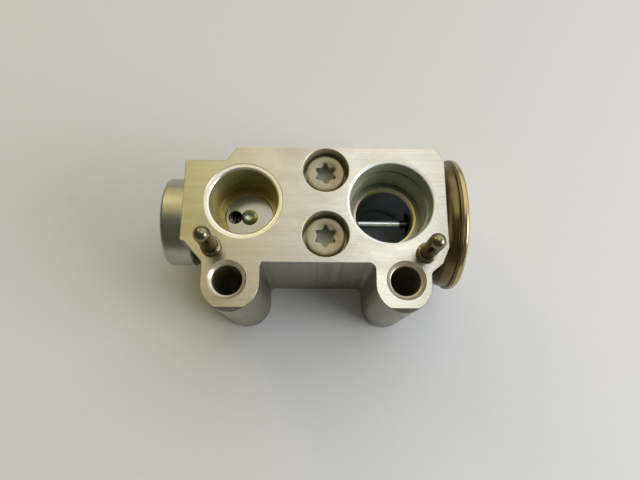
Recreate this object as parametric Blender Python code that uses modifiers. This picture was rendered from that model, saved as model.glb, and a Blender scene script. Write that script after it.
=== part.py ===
"""Block-type thermostatic expansion valve for a vehicle air conditioner.

An extruded aluminium block lies on its evaporator face. The liquid port and the suction port run
through it along Z. The valve axis runs along X at half the block's thickness: the end cap, the
adjusting screw, the spring and the ball are at -X, and the power head is at +X.

Sizes are in millimetres here and in metres in the scene. The origin is on the evaporator face,
midway between the two mounting screws.
"""

import math

import bmesh
import bpy
from mathutils import Matrix, Vector

# ---- driving dimensions, mm ----
MM = 0.001
SEAT_GAP = 0.1               # between two faces that rest on each other
FIT_GAP = 0.1                # radial, between a shaft and its hole

BLOCK_DEPTH = 33.3           # along Z, from the evaporator face to the pipe face
BLOCK_LEFT = -30.9
BLOCK_RIGHT = 26.3
BLOCK_TOP = 12.65
AXIS_Z = BLOCK_DEPTH / 2     # height of the valve axis, which lies at Y = 0

SMOOTH_ANGLE = math.radians(32)
FINE = 40                    # sides of a large round feature
MEDIUM = 24
COARSE = 16

# block outline
WEB_EDGE_Y = -13.55          # edge of the block between the two ears
NOTCH_Y = 9.35
EAR_END_Y = -23.9
EAR_LEFT = (-26.0, -13.8)
EAR_RIGHT = (10.5, 22.25)
EAR_CHAMFER = 0.9

# ports, pockets and holes that run along Z
LIQUID_PORT_X = -17.86
LIQUID_PORT_R = 7.35
LIQUID_LEAD_R = 8.6
LIQUID_STEP_R = 5.7
LIQUID_FLOOR_Z = BLOCK_DEPTH - 12.1
DIMPLE_R = 1.95              # of the centre mark in the liquid port's floor
SUCTION_PORT_X = 14.31
SUCTION_MOUTH_R = 9.15
SUCTION_PORT_R = 8.65
SUCTION_PASSAGE_R = 6.7
BACK_PORT_DEPTH = 8.7        # of both ports in the evaporator face
EVAPORATOR_INLET_X = -13.4
OUTLET_PASSAGE_X = -9.6
OUTLET_PASSAGE_R = 3.0
INLET_HOLE_X = -21.25
INLET_HOLE_R = 1.55
SCREW_Y = 7.3
SCREW_HOLE_R = 2.75
COUNTERBORE_R = 5.08
COUNTERBORE_DEPTH = 6.8
EAR_HOLES = ((-20.6, -17.3), (16.9, -17.2))
EAR_HOLE_R = 3.15
EAR_HOLE_CHAMFER_R = 4.2
PINS = {"left": (-24.1, -10.4), "right": (21.3, -11.4)}
PIN_R = 1.65
PIN_DEPTH = 8.0
PIN_HEIGHT = 11.3
PIN_COLLAR_R = 2.15
PIN_COLLAR_HEIGHT = 1.2

# features that run along the valve axis
CAP_THREAD_R = 7.0
CAP_THREAD_END_X = -27.4
CHAMBER_R = 3.7
ORIFICE_SEAT_X = -13.9
ORIFICE_R = 1.4
GUIDE_R = 1.1
ROD_SEAL_POCKET_R = 2.6
ROD_SEAL_POCKET_X = 3.6
NECK_THREAD_R = 5.0
NECK_THREAD_END_X = 22.0
NECK_VENT_R = 3.0
HEAD_SEAL_POCKET_R = 7.8
HEAD_SEAL_POCKET_DEPTH = 1.2

CAP_R = 10.65
CAP_END_X = -37.6
SPRING_SEAT_X = -22.2        # where the spring rests on its seat
BALL_R = 2.0
BALL_X = ORIFICE_SEAT_X - math.sqrt(BALL_R ** 2 - ORIFICE_R ** 2) - SEAT_GAP
ROD_R = 1.0
ROD_TIP_R = 0.75
HEAD_R = 16.0
HEAD_SHELL_R = 15.2
HEAD_SHELL_FILLET_R = 2.2

TO_PLUS_X = Matrix.Rotation(math.radians(90), 4, "Y")   # turns a profile's +Z onto +X
UPRIGHT = Matrix.Identity(4)

COLORS = {                    # colour, roughness, metallic
    "milled_aluminium": ((0.80, 0.78, 0.73), 0.34, 1.0),
    "turned_aluminium": ((0.70, 0.71, 0.71), 0.38, 1.0),
    "zinc_flake": ((0.42, 0.41, 0.38), 0.55, 0.8),
    "ground_steel": ((0.66, 0.63, 0.56), 0.20, 1.0),
    "yellow_steel": ((0.66, 0.52, 0.26), 0.30, 1.0),
    "stainless": ((0.62, 0.61, 0.58), 0.28, 1.0),
    "spring_steel": ((0.40, 0.39, 0.37), 0.35, 1.0),
    "brass": ((0.72, 0.54, 0.24), 0.35, 1.0),
    "green_rubber": ((0.03, 0.16, 0.09), 0.60, 0.0),
}


# ---- scene, materials and modelling helpers ----
def clear_scene():
    for obj in list(bpy.data.objects):
        bpy.data.objects.remove(obj, do_unlink=True)


def new_collection(name):
    collection = bpy.data.collections.new(name)
    bpy.context.scene.collection.children.link(collection)
    return collection


def material(name):
    found = bpy.data.materials.get(name)
    if found:
        return found
    color, roughness, metallic = COLORS[name]
    made = bpy.data.materials.new(name)
    made.use_nodes = True
    shader = made.node_tree.nodes["Principled BSDF"]
    shader.inputs["Base Color"].default_value = (*color, 1.0)
    shader.inputs["Roughness"].default_value = roughness
    shader.inputs["Metallic"].default_value = metallic
    return made


def add_object(name, mesh, finish=None):
    """A part if it has a finish, a cutter if not."""
    obj = bpy.data.objects.new(name, mesh)
    if finish:
        obj.data.materials.append(material(finish))
        PARTS.objects.link(obj)
    else:
        obj.hide_render = True
        obj.display_type = "WIRE"
        CUTTERS.objects.link(obj)
    return obj


def turned(name, profile, finish=None, place=UPRIGHT, sides=FINE, ring=False):
    """A turned piece. Its profile is (radius, height) in mm, down the outer side from the top."""
    mesh = bpy.data.meshes.new(name)
    points = [(radius * MM, 0.0, height * MM) for radius, height in profile]
    edges = [(i, i + 1) for i in range(len(points) - 1)]
    if ring:
        edges.append((len(points) - 1, 0))
    mesh.from_pydata(points, edges, [])
    obj = add_object(name, mesh, finish)
    screw = obj.modifiers.new("Turn", "SCREW")
    screw.angle = math.tau
    screw.steps = sides
    screw.render_steps = sides
    screw.use_merge_vertices = True
    screw.merge_threshold = 1e-6
    obj.matrix_world = place
    return obj


def on_axis(x):
    """The place of a turned piece on the valve axis, with its +Z towards +X."""
    return Matrix.Translation((x * MM, 0.0, AXIS_Z * MM)) @ TO_PLUS_X


def upright(x, y, z=0.0):
    return Matrix.Translation((x * MM, y * MM, z * MM))


def cut(obj, cutter):
    """Takes the cutter's shape out of the object."""
    boolean = obj.modifiers.new(cutter.name, "BOOLEAN")
    boolean.operation = "DIFFERENCE"
    boolean.solver = "EXACT"
    boolean.object = cutter


def shade(obj):
    """Smooth shading with sharp edges, on the finished mesh."""
    bpy.context.view_layer.update()
    graph = bpy.context.evaluated_depsgraph_get()
    mesh = bpy.data.meshes.new_from_object(obj.evaluated_get(graph))
    obj.modifiers.clear()
    obj.data = mesh
    mesh.shade_smooth()
    mesh.set_sharp_from_angle(angle=SMOOTH_ANGLE)


def rounded_outline(corners, step=math.radians(12)):
    """A closed outline in mm from (x, y, radius) corners, each rounded with an arc."""
    points = []
    for index, (x, y, radius) in enumerate(corners):
        corner = Vector((x, y))
        before = (Vector(corners[index - 1][:2]) - corner).normalized()
        after = (Vector(corners[(index + 1) % len(corners)][:2]) - corner).normalized()
        inner = before.angle(after)
        reach = radius / math.tan(inner / 2)
        centre = corner + (before + after).normalized() * (radius / math.sin(inner / 2))
        start = corner + before * reach - centre
        turn = start.angle_signed(corner + after * reach - centre)
        pieces = max(1, round(abs(turn) / step))
        for piece in range(pieces + 1):
            ray = start.copy()
            ray.rotate(Matrix.Rotation(-turn * piece / pieces, 2))
            points.append(centre + ray)
    return points


def extruded(name, outline, depth, finish):
    """A flat outline in mm, filled and extruded upwards from Z = 0."""
    curve = bpy.data.curves.new(name, "CURVE")
    curve.dimensions = "2D"
    curve.fill_mode = "BOTH"
    curve.extrude = depth * MM / 2
    spline = curve.splines.new("POLY")
    spline.points.add(len(outline) - 1)
    for point, (x, y) in zip(spline.points, outline):
        point.co = (x * MM, y * MM, 0.0, 1.0)
    spline.use_cyclic_u = True
    guide = bpy.data.objects.new(name + "_outline", curve)
    guide.location.z = depth * MM / 2
    CUTTERS.objects.link(guide)
    bpy.context.view_layer.update()
    graph = bpy.context.evaluated_depsgraph_get()
    mesh = bpy.data.meshes.new_from_object(guide.evaluated_get(graph))
    mesh.transform(guide.matrix_world)
    bpy.data.objects.remove(guide, do_unlink=True)
    weld(mesh)
    return add_object(name, mesh, finish)


def weld(mesh):
    """Joins a curve's loose caps to its sides, with every face pointing out."""
    cage = bmesh.new()
    cage.from_mesh(mesh)
    bmesh.ops.remove_doubles(cage, verts=cage.verts, dist=1e-6)
    bmesh.ops.recalc_face_normals(cage, faces=cage.faces)
    cage.to_mesh(mesh)
    cage.free()


def box(name, low, high):
    """A cutter box between two corners in mm."""
    cage = bmesh.new()
    bmesh.ops.create_cube(cage, size=1.0)
    low, high = Vector(low) * MM, Vector(high) * MM
    size = high - low
    bmesh.ops.scale(cage, vec=size, verts=cage.verts)
    bmesh.ops.translate(cage, vec=(low + high) / 2, verts=cage.verts)
    mesh = bpy.data.meshes.new(name)
    cage.to_mesh(mesh)
    cage.free()
    return add_object(name, mesh)


def arc(radius, start, end, pieces, centre=(0.0, 0.0)):
    """Points of an arc in a turned profile, with angles in degrees from +radius towards +height."""
    step = (end - start) / pieces
    angles = [math.radians(start + step * i) for i in range(pieces + 1)]
    return [(centre[0] + radius * math.cos(a), centre[1] + radius * math.sin(a)) for a in angles]


def o_ring(name, x, middle_r, cord_r, sides=MEDIUM):
    """A rubber ring round the valve axis."""
    section = arc(cord_r, 0, -324, 9, (middle_r, 0))
    turned(name, section, "green_rubber", on_axis(x), sides, ring=True)


# ---- the block ----
def block_outline():
    left_out, left_in = EAR_LEFT
    right_in, right_out = EAR_RIGHT
    left_ear_r = (left_in - left_out) / 2 - 0.01
    right_ear_r = (right_out - right_in) / 2 - 0.01
    return rounded_outline([
        (BLOCK_LEFT, NOTCH_Y, 0.3),
        (BLOCK_LEFT, -8.95, 0.3),
        (-29.9, -9.3, 0.9),
        (left_out, -13.6, 1.2),
        (left_out, EAR_END_Y, left_ear_r),
        (left_in, EAR_END_Y, left_ear_r),
        (left_in, WEB_EDGE_Y, 0.8),
        (right_in, WEB_EDGE_Y, 1.5),
        (right_in, EAR_END_Y, right_ear_r),
        (right_out, EAR_END_Y, right_ear_r),
        (right_out, -15.5, 1.5),
        (24.7, -13.6, 0.5),
        (BLOCK_RIGHT, -10.0, 0.6),
        (BLOCK_RIGHT, 10.0, 0.4),
        (24.55, BLOCK_TOP, 0.4),
        (-19.6, BLOCK_TOP, 0.5),
        (-21.95, NOTCH_Y, 1.0),
    ])


def port_cutters():
    """The ports on both faces, turned about Z. Heights are measured from the evaporator face."""
    top = BLOCK_DEPTH
    over = top + 1
    liquid_port = [
        (0, over), (LIQUID_LEAD_R + 1, over), (LIQUID_LEAD_R, top), (LIQUID_PORT_R, top - 0.3),
        (LIQUID_PORT_R, top - 11.05), (LIQUID_STEP_R, top - 11.1), (LIQUID_STEP_R, LIQUID_FLOOR_Z),
        (DIMPLE_R, LIQUID_FLOOR_Z), (0.5, LIQUID_FLOOR_Z - 0.6), (0, LIQUID_FLOOR_Z - 0.6),
    ]
    suction_port = [
        (0, over), (SUCTION_MOUTH_R + 1.6, over), (SUCTION_MOUTH_R + 0.6, top),
        (SUCTION_MOUTH_R, top - 0.35), (SUCTION_MOUTH_R, top - 4.55), (SUCTION_PORT_R, top - 4.6),
        (SUCTION_PORT_R, top - 10.8), (7.4, top - 10.8), (SUCTION_PASSAGE_R, top - 11.5),
        (SUCTION_PASSAGE_R, BACK_PORT_DEPTH + 0.7), (7.4, BACK_PORT_DEPTH),
        (SUCTION_PORT_R, BACK_PORT_DEPTH), (SUCTION_PORT_R, 0.5), (SUCTION_PORT_R + 0.5, 0),
        (SUCTION_PORT_R + 1.5, -1), (0, -1),
    ]
    evaporator_inlet = [
        (0, BACK_PORT_DEPTH), (LIQUID_PORT_R, BACK_PORT_DEPTH), (LIQUID_PORT_R, 0.5),
        (LIQUID_PORT_R + 0.5, 0), (LIQUID_PORT_R + 1.5, -1), (0, -1),
    ]
    outlet_passage = [
        (0, AXIS_Z + 3.8), (OUTLET_PASSAGE_R, AXIS_Z + 2.2), (OUTLET_PASSAGE_R, 8), (0, 8),
    ]
    inlet_hole = [
        (0, top - 11), (INLET_HOLE_R, top - 11), (INLET_HOLE_R, AXIS_Z), (0, AXIS_Z),
    ]
    return [
        turned("cut_liquid_port", liquid_port, place=upright(LIQUID_PORT_X, 0)),
        turned("cut_suction_port", suction_port, place=upright(SUCTION_PORT_X, 0)),
        turned("cut_evaporator_inlet", evaporator_inlet, place=upright(EVAPORATOR_INLET_X, 0)),
        turned("cut_outlet_passage", outlet_passage, place=upright(OUTLET_PASSAGE_X, 0),
               sides=MEDIUM),
        turned("cut_inlet_hole", inlet_hole, place=upright(INLET_HOLE_X, 0), sides=COARSE),
    ]


def fastener_cutters():
    """Counterbores, screw holes, ear holes and pin holes."""
    top = BLOCK_DEPTH
    over = top + 1
    floor = top - COUNTERBORE_DEPTH
    screw_hole = [
        (0, over), (COUNTERBORE_R, over), (COUNTERBORE_R, floor), (SCREW_HOLE_R, floor),
        (SCREW_HOLE_R, -1), (0, -1),
    ]
    chamfer = EAR_HOLE_CHAMFER_R - EAR_HOLE_R
    ear_hole = [
        (0, over), (EAR_HOLE_CHAMFER_R + 1, over), (EAR_HOLE_CHAMFER_R, top),
        (EAR_HOLE_R, top - chamfer), (EAR_HOLE_R, chamfer), (EAR_HOLE_CHAMFER_R, 0),
        (EAR_HOLE_CHAMFER_R + 1, -1), (0, -1),
    ]
    pin_hole_r = PIN_R + FIT_GAP
    floor = top - PIN_DEPTH - 0.3
    pin_hole = [(0, over), (pin_hole_r, over), (pin_hole_r, floor), (0, floor - 0.8)]
    cutters = []
    for index, y in enumerate((SCREW_Y, -SCREW_Y)):
        name = f"cut_screw_hole_{index}"
        cutters.append(turned(name, screw_hole, place=upright(0, y), sides=MEDIUM))
    for index, (x, y) in enumerate(EAR_HOLES):
        name = f"cut_ear_hole_{index}"
        cutters.append(turned(name, ear_hole, place=upright(x, y), sides=MEDIUM))
    for side, (x, y) in PINS.items():
        cutters.append(turned(f"cut_pin_hole_{side}", pin_hole, place=upright(x, y), sides=COARSE))
    return cutters


def axis_cutters():
    """The stepped bores along the valve axis, turned about X. Heights are X positions."""
    left = BLOCK_LEFT - 1
    right = BLOCK_RIGHT + 1
    pocket_floor = BLOCK_RIGHT - HEAD_SEAL_POCKET_DEPTH
    spring_side = [
        (0, OUTLET_PASSAGE_X), (ORIFICE_R, OUTLET_PASSAGE_X), (ORIFICE_R, ORIFICE_SEAT_X),
        (CHAMBER_R, ORIFICE_SEAT_X), (CHAMBER_R, CAP_THREAD_END_X),
        (CAP_THREAD_R, CAP_THREAD_END_X), (CAP_THREAD_R, left), (0, left),
    ]
    head_side = [
        (0, right), (HEAD_SEAL_POCKET_R, right), (HEAD_SEAL_POCKET_R, pocket_floor),
        (NECK_THREAD_R, pocket_floor), (NECK_THREAD_R, NECK_THREAD_END_X),
        (NECK_VENT_R, NECK_THREAD_END_X), (NECK_VENT_R, SUCTION_PORT_X), (0, SUCTION_PORT_X),
    ]
    rod_guide = [
        (0, SUCTION_PORT_X), (ROD_SEAL_POCKET_R, SUCTION_PORT_X),
        (ROD_SEAL_POCKET_R, ROD_SEAL_POCKET_X), (GUIDE_R, ROD_SEAL_POCKET_X),
        (GUIDE_R, OUTLET_PASSAGE_X), (0, OUTLET_PASSAGE_X),
    ]
    return [
        turned("cut_spring_chamber", spring_side, place=on_axis(0), sides=MEDIUM),
        turned("cut_head_thread", head_side, place=on_axis(0), sides=MEDIUM),
        turned("cut_rod_guide", rod_guide, place=on_axis(0), sides=COARSE),
    ]


def ear_chamfer_cutters():
    """Tilted boxes that take the front edge off the round end of each ear."""
    cutters = []
    for index, (low_x, high_x) in enumerate((EAR_LEFT, EAR_RIGHT)):
        cutter = box(f"cut_ear_chamfer_{index}", (low_x - 1, -4, 0), (high_x + 1, 4, 4))
        place = Matrix.Translation((0, (EAR_END_Y + EAR_CHAMFER) * MM, BLOCK_DEPTH * MM))
        cutter.matrix_world = place @ Matrix.Rotation(math.radians(45), 4, "X")
        cutters.append(cutter)
    return cutters


def valve_body():
    block = extruded("valve_body", block_outline(), BLOCK_DEPTH, "milled_aluminium")
    cutters = port_cutters() + fastener_cutters() + axis_cutters() + ear_chamfer_cutters()
    for cutter in cutters:
        cut(block, cutter)
    shade(block)


# ---- the spring end ----
def end_cap():
    """A hollow cap, screwed into the block, with a groove for its O-ring."""
    shoulder = BLOCK_LEFT - SEAT_GAP
    spigot_r = CAP_THREAD_R - FIT_GAP
    spigot_end = CAP_THREAD_END_X - 0.2
    groove_x, groove_half, groove_r = -29.5, 0.9, 5.2
    hollow_r, end_wall = 4.5, 2.2
    profile = [
        (hollow_r, spigot_end), (spigot_r - 0.4, spigot_end), (spigot_r, spigot_end - 0.4),
        (spigot_r, groove_x + groove_half), (groove_r, groove_x + groove_half),
        (groove_r, groove_x - groove_half), (spigot_r, groove_x - groove_half),
        (spigot_r, shoulder), (CAP_R - 0.2, shoulder), (CAP_R, shoulder - 0.2),
    ]
    profile += arc(0.8, 0, -90, 4, (CAP_R - 0.8, CAP_END_X + 0.8))
    profile += [(0, CAP_END_X), (0, CAP_END_X + end_wall), (hollow_r, CAP_END_X + end_wall)]
    turned("end_cap", profile, "turned_aluminium", on_axis(0), ring=True)
    o_ring("end_cap_o_ring", groove_x, 6.1, 0.75)


def adjusting_screw():
    """A set screw with a hexagon socket at its outer end."""
    outer, inner, radius = -31.4, -23.4, CHAMBER_R - FIT_GAP
    profile = [
        (0, inner), (radius - 0.4, inner), (radius, inner - 0.4), (radius, outer + 0.5),
        (radius - 0.5, outer), (0, outer),
    ]
    screw = turned("adjusting_screw", profile, "brass", on_axis(0), sides=MEDIUM)
    socket_r = 4.0 / math.sqrt(3)
    socket = [(0, outer + 3), (socket_r, outer + 3), (socket_r, outer - 1), (0, outer - 1)]
    cut(screw, turned("cut_hex_socket", socket, place=on_axis(0), sides=6))


def spring_and_ball():
    """Spring seat, spring, ball holder with its friction ring, and the ball."""
    flange_r, boss_r = 3.3, 1.5                  # of the seat and of the holder
    seat = [
        (0, SPRING_SEAT_X + 0.7), (boss_r, SPRING_SEAT_X + 0.7), (boss_r, SPRING_SEAT_X),
        (flange_r, SPRING_SEAT_X), (flange_r, SPRING_SEAT_X - 1.0), (0, SPRING_SEAT_X - 1.0),
    ]
    turned("spring_seat", seat, "stainless", on_axis(0), sides=COARSE)
    turned("valve_ball", arc(BALL_R, 90, -90, 10), "stainless", on_axis(BALL_X), sides=COARSE)

    cup = 0.9                                    # depth of the ball's cup in the holder
    cup_r = math.sqrt((BALL_R + FIT_GAP) ** 2 - (BALL_R + FIT_GAP - cup) ** 2)
    front = BALL_X - BALL_R - FIT_GAP + cup
    back = front - 1.9
    holder = [
        (cup_r, front), (2.5, front), (2.5, front - 1.0), (flange_r, front - 1.0),
        (flange_r, back), (boss_r, back), (boss_r, back - 1.1), (0, back - 1.1),
    ]
    holder += arc(BALL_R + FIT_GAP, -90, -58, 3, (0, BALL_X))[:-1]
    turned("ball_holder", holder, "stainless", on_axis(0), sides=COARSE, ring=True)

    ring = [(3.45, front - 0.1), (3.45, front - 0.85), (2.65, front - 0.85), (2.65, front - 0.1)]
    turned("friction_ring", ring, "spring_steel", on_axis(0), sides=COARSE, ring=True)

    bias_spring(SPRING_SEAT_X, back)


def bias_spring(low_x, high_x):
    """A coil along the valve axis, from the spring seat to the ball holder."""
    wire_r, coil_r, turns, per_turn = 0.28, 2.6, 3.5, 16
    start = low_x + wire_r + SEAT_GAP
    rise = high_x - wire_r - SEAT_GAP - start
    steps = round(turns * per_turn)
    curve = bpy.data.curves.new("bias_spring", "CURVE")
    curve.dimensions = "3D"
    curve.bevel_depth = wire_r * MM
    curve.bevel_resolution = 1
    curve.use_fill_caps = True
    spline = curve.splines.new("POLY")
    spline.points.add(steps)
    for index, point in enumerate(spline.points):
        angle = math.tau * index / per_turn
        y, z = coil_r * math.cos(angle), coil_r * math.sin(angle)
        point.co = ((start + rise * index / steps) * MM, y * MM, (AXIS_Z + z) * MM, 1.0)
    coil = bpy.data.objects.new("bias_spring", curve)
    curve.materials.append(material("spring_steel"))
    PARTS.objects.link(coil)


# ---- the push rod and its seal ----
def push_rod():
    """The rod from the ball to the diaphragm stopper, thinner where it passes the orifice."""
    start = BALL_X + BALL_R + SEAT_GAP
    end = 25.0
    profile = [
        (0, end), (ROD_R - 0.15, end), (ROD_R, end - 0.15), (ROD_R, -7.5), (ROD_TIP_R, -8.2),
        (ROD_TIP_R, start), (0, start),
    ]
    turned("push_rod", profile, "ground_steel", on_axis(0), sides=COARSE)
    o_ring("rod_o_ring", ROD_SEAL_POCKET_X + 0.95, 1.85, 0.72, COARSE)
    washer_r, back = ROD_SEAL_POCKET_R - FIT_GAP, ROD_SEAL_POCKET_X + 2.0
    washer = [(washer_r, back + 1), (washer_r, back), (1.15, back), (1.15, back + 1)]
    turned("rod_seal_retainer", washer, "stainless", on_axis(0), sides=COARSE, ring=True)


# ---- the power head ----
def head_lower_housing():
    """A pressed shell with a threaded neck, open to the suction passage through the neck."""
    under = BLOCK_RIGHT + 0.3
    neck_r = NECK_THREAD_R - FIT_GAP
    neck_end = NECK_THREAD_END_X + 0.3
    rim, sheet = 30.2, 0.9
    fillet = HEAD_SHELL_FILLET_R
    outer = [(HEAD_R - 0.1, rim), (HEAD_R - 0.1, rim - 0.6), (HEAD_SHELL_R, rim - 0.9)]
    outer += arc(fillet, 0, -90, 5, (HEAD_SHELL_R - fillet, under + fillet))
    outer += [(neck_r, under), (neck_r, neck_end)]
    inner = [(3.1, neck_end), (3.1, under + sheet)]
    inner += arc(fillet - sheet, -90, 0, 3, (HEAD_SHELL_R - fillet, under + fillet))
    inner += [(HEAD_SHELL_R - sheet, rim)]
    turned("head_lower_housing", outer + inner, "yellow_steel", on_axis(0), ring=True)
    seal_x = BLOCK_RIGHT - HEAD_SEAL_POCKET_DEPTH + 0.7
    o_ring("head_o_ring", seal_x, 6.4, 0.6)


def diaphragm():
    """A thin sheet with one corrugation, clamped between the two shells of the head."""
    top = [(15.5, 30.5), (13.8, 30.5), (12.4, 30.9), (11.0, 30.5), (9.4, 31.0), (0, 31.0)]
    sheet = [(radius, x - 0.15) for radius, x in reversed(top)]
    turned("diaphragm", list(reversed(top)) + list(reversed(sheet)), "stainless", on_axis(0))


def diaphragm_stopper():
    """The pad under the diaphragm, with a boss that the push rod enters."""
    boss_end, pad_back, pad_front = 23.6, 29.4, 30.7
    socket_r = ROD_R + FIT_GAP
    profile = [
        (0, pad_front), (8.6, pad_front), (9.0, pad_front - 0.4), (9.0, pad_back),
        (2.4, pad_back - 0.6), (2.4, boss_end), (socket_r, boss_end), (socket_r, 25.1),
        (0, 25.1),
    ]
    turned("diaphragm_stopper", profile, "stainless", on_axis(0), sides=MEDIUM)


def head_upper_cover():
    """The outer cover, with a flat rim, a low crown and the filling hole."""
    rim_back, rim_front = 30.7, 31.6
    outer = [(1.3, 33.6), (5.0, 33.5), (9.0, 32.9), (11.5, 32.3), (13.4, rim_front)]
    outer += arc(0.85, 90, 0, 6, (HEAD_R - 0.85, rim_front - 0.85))
    outer += [(HEAD_R - 0.1, rim_back)]
    inner = [(13.4, rim_back), (11.3, 31.5), (9.0, 32.1), (5.0, 32.7), (1.3, 32.8)]
    turned("head_upper_cover", outer + inner, "yellow_steel", on_axis(0), ring=True)


def charge_plug():
    """The plug welded into the filling hole."""
    profile = [
        (0, 34.9), (0.9, 34.9), (1.5, 34.5), (2.2, 33.75), (1.1, 33.72), (1.1, 32.9), (0, 32.9),
    ]
    turned("charge_plug", profile, "stainless", on_axis(0), sides=COARSE)


# ---- screws and pins ----
def star_socket(name, place):
    """A cutter with six lobes, 4.95 across their tips."""
    cage = bmesh.new()
    steps = 48
    ring = []
    for index in range(steps):
        angle = math.tau * index / steps
        radius = 2.12 + 0.355 * math.cos(6 * angle)
        ring.append(cage.verts.new((radius * MM * math.cos(angle), radius * MM * math.sin(angle), 0)))
    face = cage.faces.new(ring)
    top = bmesh.ops.extrude_face_region(cage, geom=[face])
    lifted = [v for v in top["geom"] if isinstance(v, bmesh.types.BMVert)]
    bmesh.ops.translate(cage, vec=(0, 0, 4 * MM), verts=lifted)
    bmesh.ops.recalc_face_normals(cage, faces=cage.faces)
    mesh = bpy.data.meshes.new(name)
    cage.to_mesh(mesh)
    cage.free()
    cutter = add_object(name, mesh)
    cutter.matrix_world = place
    return cutter


def mounting_screws():
    """Cap screws with a six-lobed socket, seated in their counterbores."""
    under = BLOCK_DEPTH - COUNTERBORE_DEPTH + SEAT_GAP
    head_r, head_height, shank_r, tip = 4.25, 4.9, 2.5, 0.5
    top = under + head_height
    profile = [
        (0, top), (head_r - 0.45, top), (head_r - 0.12, top - 0.15), (head_r, top - 0.5),
        (head_r, under), (shank_r, under), (shank_r, tip + 0.6), (shank_r - 0.6, tip), (0, tip),
    ]
    for side, y, turn in (("upper", SCREW_Y, 33), ("lower", -SCREW_Y, 29)):
        screw = turned(f"mounting_screw_{side}", profile, "zinc_flake", upright(0, y), MEDIUM)
        spin = Matrix.Rotation(math.radians(turn), 4, "Z")
        cut(screw, star_socket(f"cut_star_{side}", upright(0, y, top - 2.8) @ spin))


def locating_pins():
    """Pressed-in pins with a low collar on the face and a round tip."""
    face = BLOCK_DEPTH + SEAT_GAP
    collar_top = face + PIN_COLLAR_HEIGHT
    tip = BLOCK_DEPTH + PIN_HEIGHT
    bottom = BLOCK_DEPTH - PIN_DEPTH
    profile = arc(PIN_R, 90, 0, 6, (0, tip - PIN_R))
    profile += [
        (PIN_R, collar_top), (PIN_COLLAR_R - 0.2, collar_top), (PIN_COLLAR_R, collar_top - 0.2),
        (PIN_COLLAR_R, face), (PIN_R, face), (PIN_R, bottom + 0.3), (PIN_R - 0.3, bottom),
        (0, bottom),
    ]
    for side, (x, y) in PINS.items():
        turned(f"locating_pin_{side}", profile, "ground_steel", upright(x, y), COARSE)


clear_scene()
PARTS = new_collection("expansion_valve")
CUTTERS = new_collection("cutters")
valve_body()
end_cap()
adjusting_screw()
spring_and_ball()
push_rod()
head_lower_housing()
diaphragm()
diaphragm_stopper()
head_upper_cover()
charge_plug()
mounting_screws()
locating_pins()
for part in [obj for obj in PARTS.objects if obj.type == "MESH" and obj.name != "valve_body"]:
    shade(part)
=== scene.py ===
"""Looks of the block-type thermostatic expansion valve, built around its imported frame.

Profiles and outlines are in millimetres and become metres when a mesh is made. The block lies on
its evaporator face at Z = 0, the pipe face points up, and the valve axis runs along X.
"""

import math

import bmesh
import bpy
from mathutils import Matrix, Vector


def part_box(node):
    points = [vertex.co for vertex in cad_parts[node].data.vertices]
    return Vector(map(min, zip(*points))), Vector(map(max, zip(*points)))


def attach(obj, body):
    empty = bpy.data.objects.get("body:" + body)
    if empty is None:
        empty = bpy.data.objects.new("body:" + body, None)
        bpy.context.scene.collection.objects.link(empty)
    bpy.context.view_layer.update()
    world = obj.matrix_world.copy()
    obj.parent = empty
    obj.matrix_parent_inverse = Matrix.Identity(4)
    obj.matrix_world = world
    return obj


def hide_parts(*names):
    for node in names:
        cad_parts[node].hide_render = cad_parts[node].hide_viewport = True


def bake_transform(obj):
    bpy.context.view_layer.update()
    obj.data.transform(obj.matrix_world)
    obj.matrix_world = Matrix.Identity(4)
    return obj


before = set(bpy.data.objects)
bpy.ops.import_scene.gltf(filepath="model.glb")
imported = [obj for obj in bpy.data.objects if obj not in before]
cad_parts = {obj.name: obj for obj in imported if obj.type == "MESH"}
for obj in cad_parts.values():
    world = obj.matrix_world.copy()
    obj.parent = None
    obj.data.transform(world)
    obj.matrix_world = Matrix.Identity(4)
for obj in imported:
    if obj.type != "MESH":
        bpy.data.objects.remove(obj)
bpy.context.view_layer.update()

MM = 0.001
FIXED = "valve_block"
STEM = "stem"


# ---- sizes read from the frame, mm ----
def span(node):
    low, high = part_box(node)
    return low / MM, high / MM


def middle(node):
    low, high = span(node)
    return (low + high) / 2


BLOCK_LOW, BLOCK_HIGH = span("valve_body")
TOP = BLOCK_HIGH.z
AXIS_Z = middle("push_rod").z
CAP_LOW, CAP_HIGH = span("end_cap")
CAP_R = (CAP_HIGH.y - CAP_LOW.y) / 2
COVER_LOW, COVER_HIGH = span("head_upper_cover")
HEAD_R = (COVER_HIGH.y - COVER_LOW.y) / 2
HOUSING_LOW, HOUSING_HIGH = span("head_lower_housing")
ROD_LOW, ROD_HIGH = span("push_rod")
ROD_R = (ROD_HIGH.z - ROD_LOW.z) / 2
SCREW_LOW, SCREW_HIGH = span("mounting_screw_upper")
SCREW_Y = middle("mounting_screw_upper").y
PIN_LOW, PIN_HIGH = span("locating_pin_left")
PIN_R = 1.65

# ---- sizes of the block's own features, mm ----
NOTCH_Y = 9.35
WEB_EDGE_Y = -13.55
EAR_LEFT = (-26.0, -13.8)
EAR_RIGHT = (10.5, 22.25)
EAR_CHAMFER = 0.9
LIQUID_X = -17.86
LIQUID_R = 7.35
LIQUID_LEAD_R = 8.6
LIQUID_LEDGE_DEPTH = 11.05    # from the pipe face
LIQUID_STEP_R = 5.7
LIQUID_FLOOR = TOP - 12.1
SUCTION_X = 14.31
SUCTION_MOUTH_R = 9.15
SUCTION_STEP_DEPTH = 4.55     # from the pipe face
SUCTION_R = 8.65
SUCTION_LEDGE_DEPTH = 10.8    # from the pipe face
SUCTION_LEDGE_R = 7.4
PASSAGE_R = 6.7
BACK_PORT_DEPTH = 8.7         # from the evaporator face
EVAPORATOR_X = -13.4
OUTLET_X = -9.6
INLET_HOLE_X = -21.25
INLET_HOLE_R = 1.55
DIMPLE_R = 1.95
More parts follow.
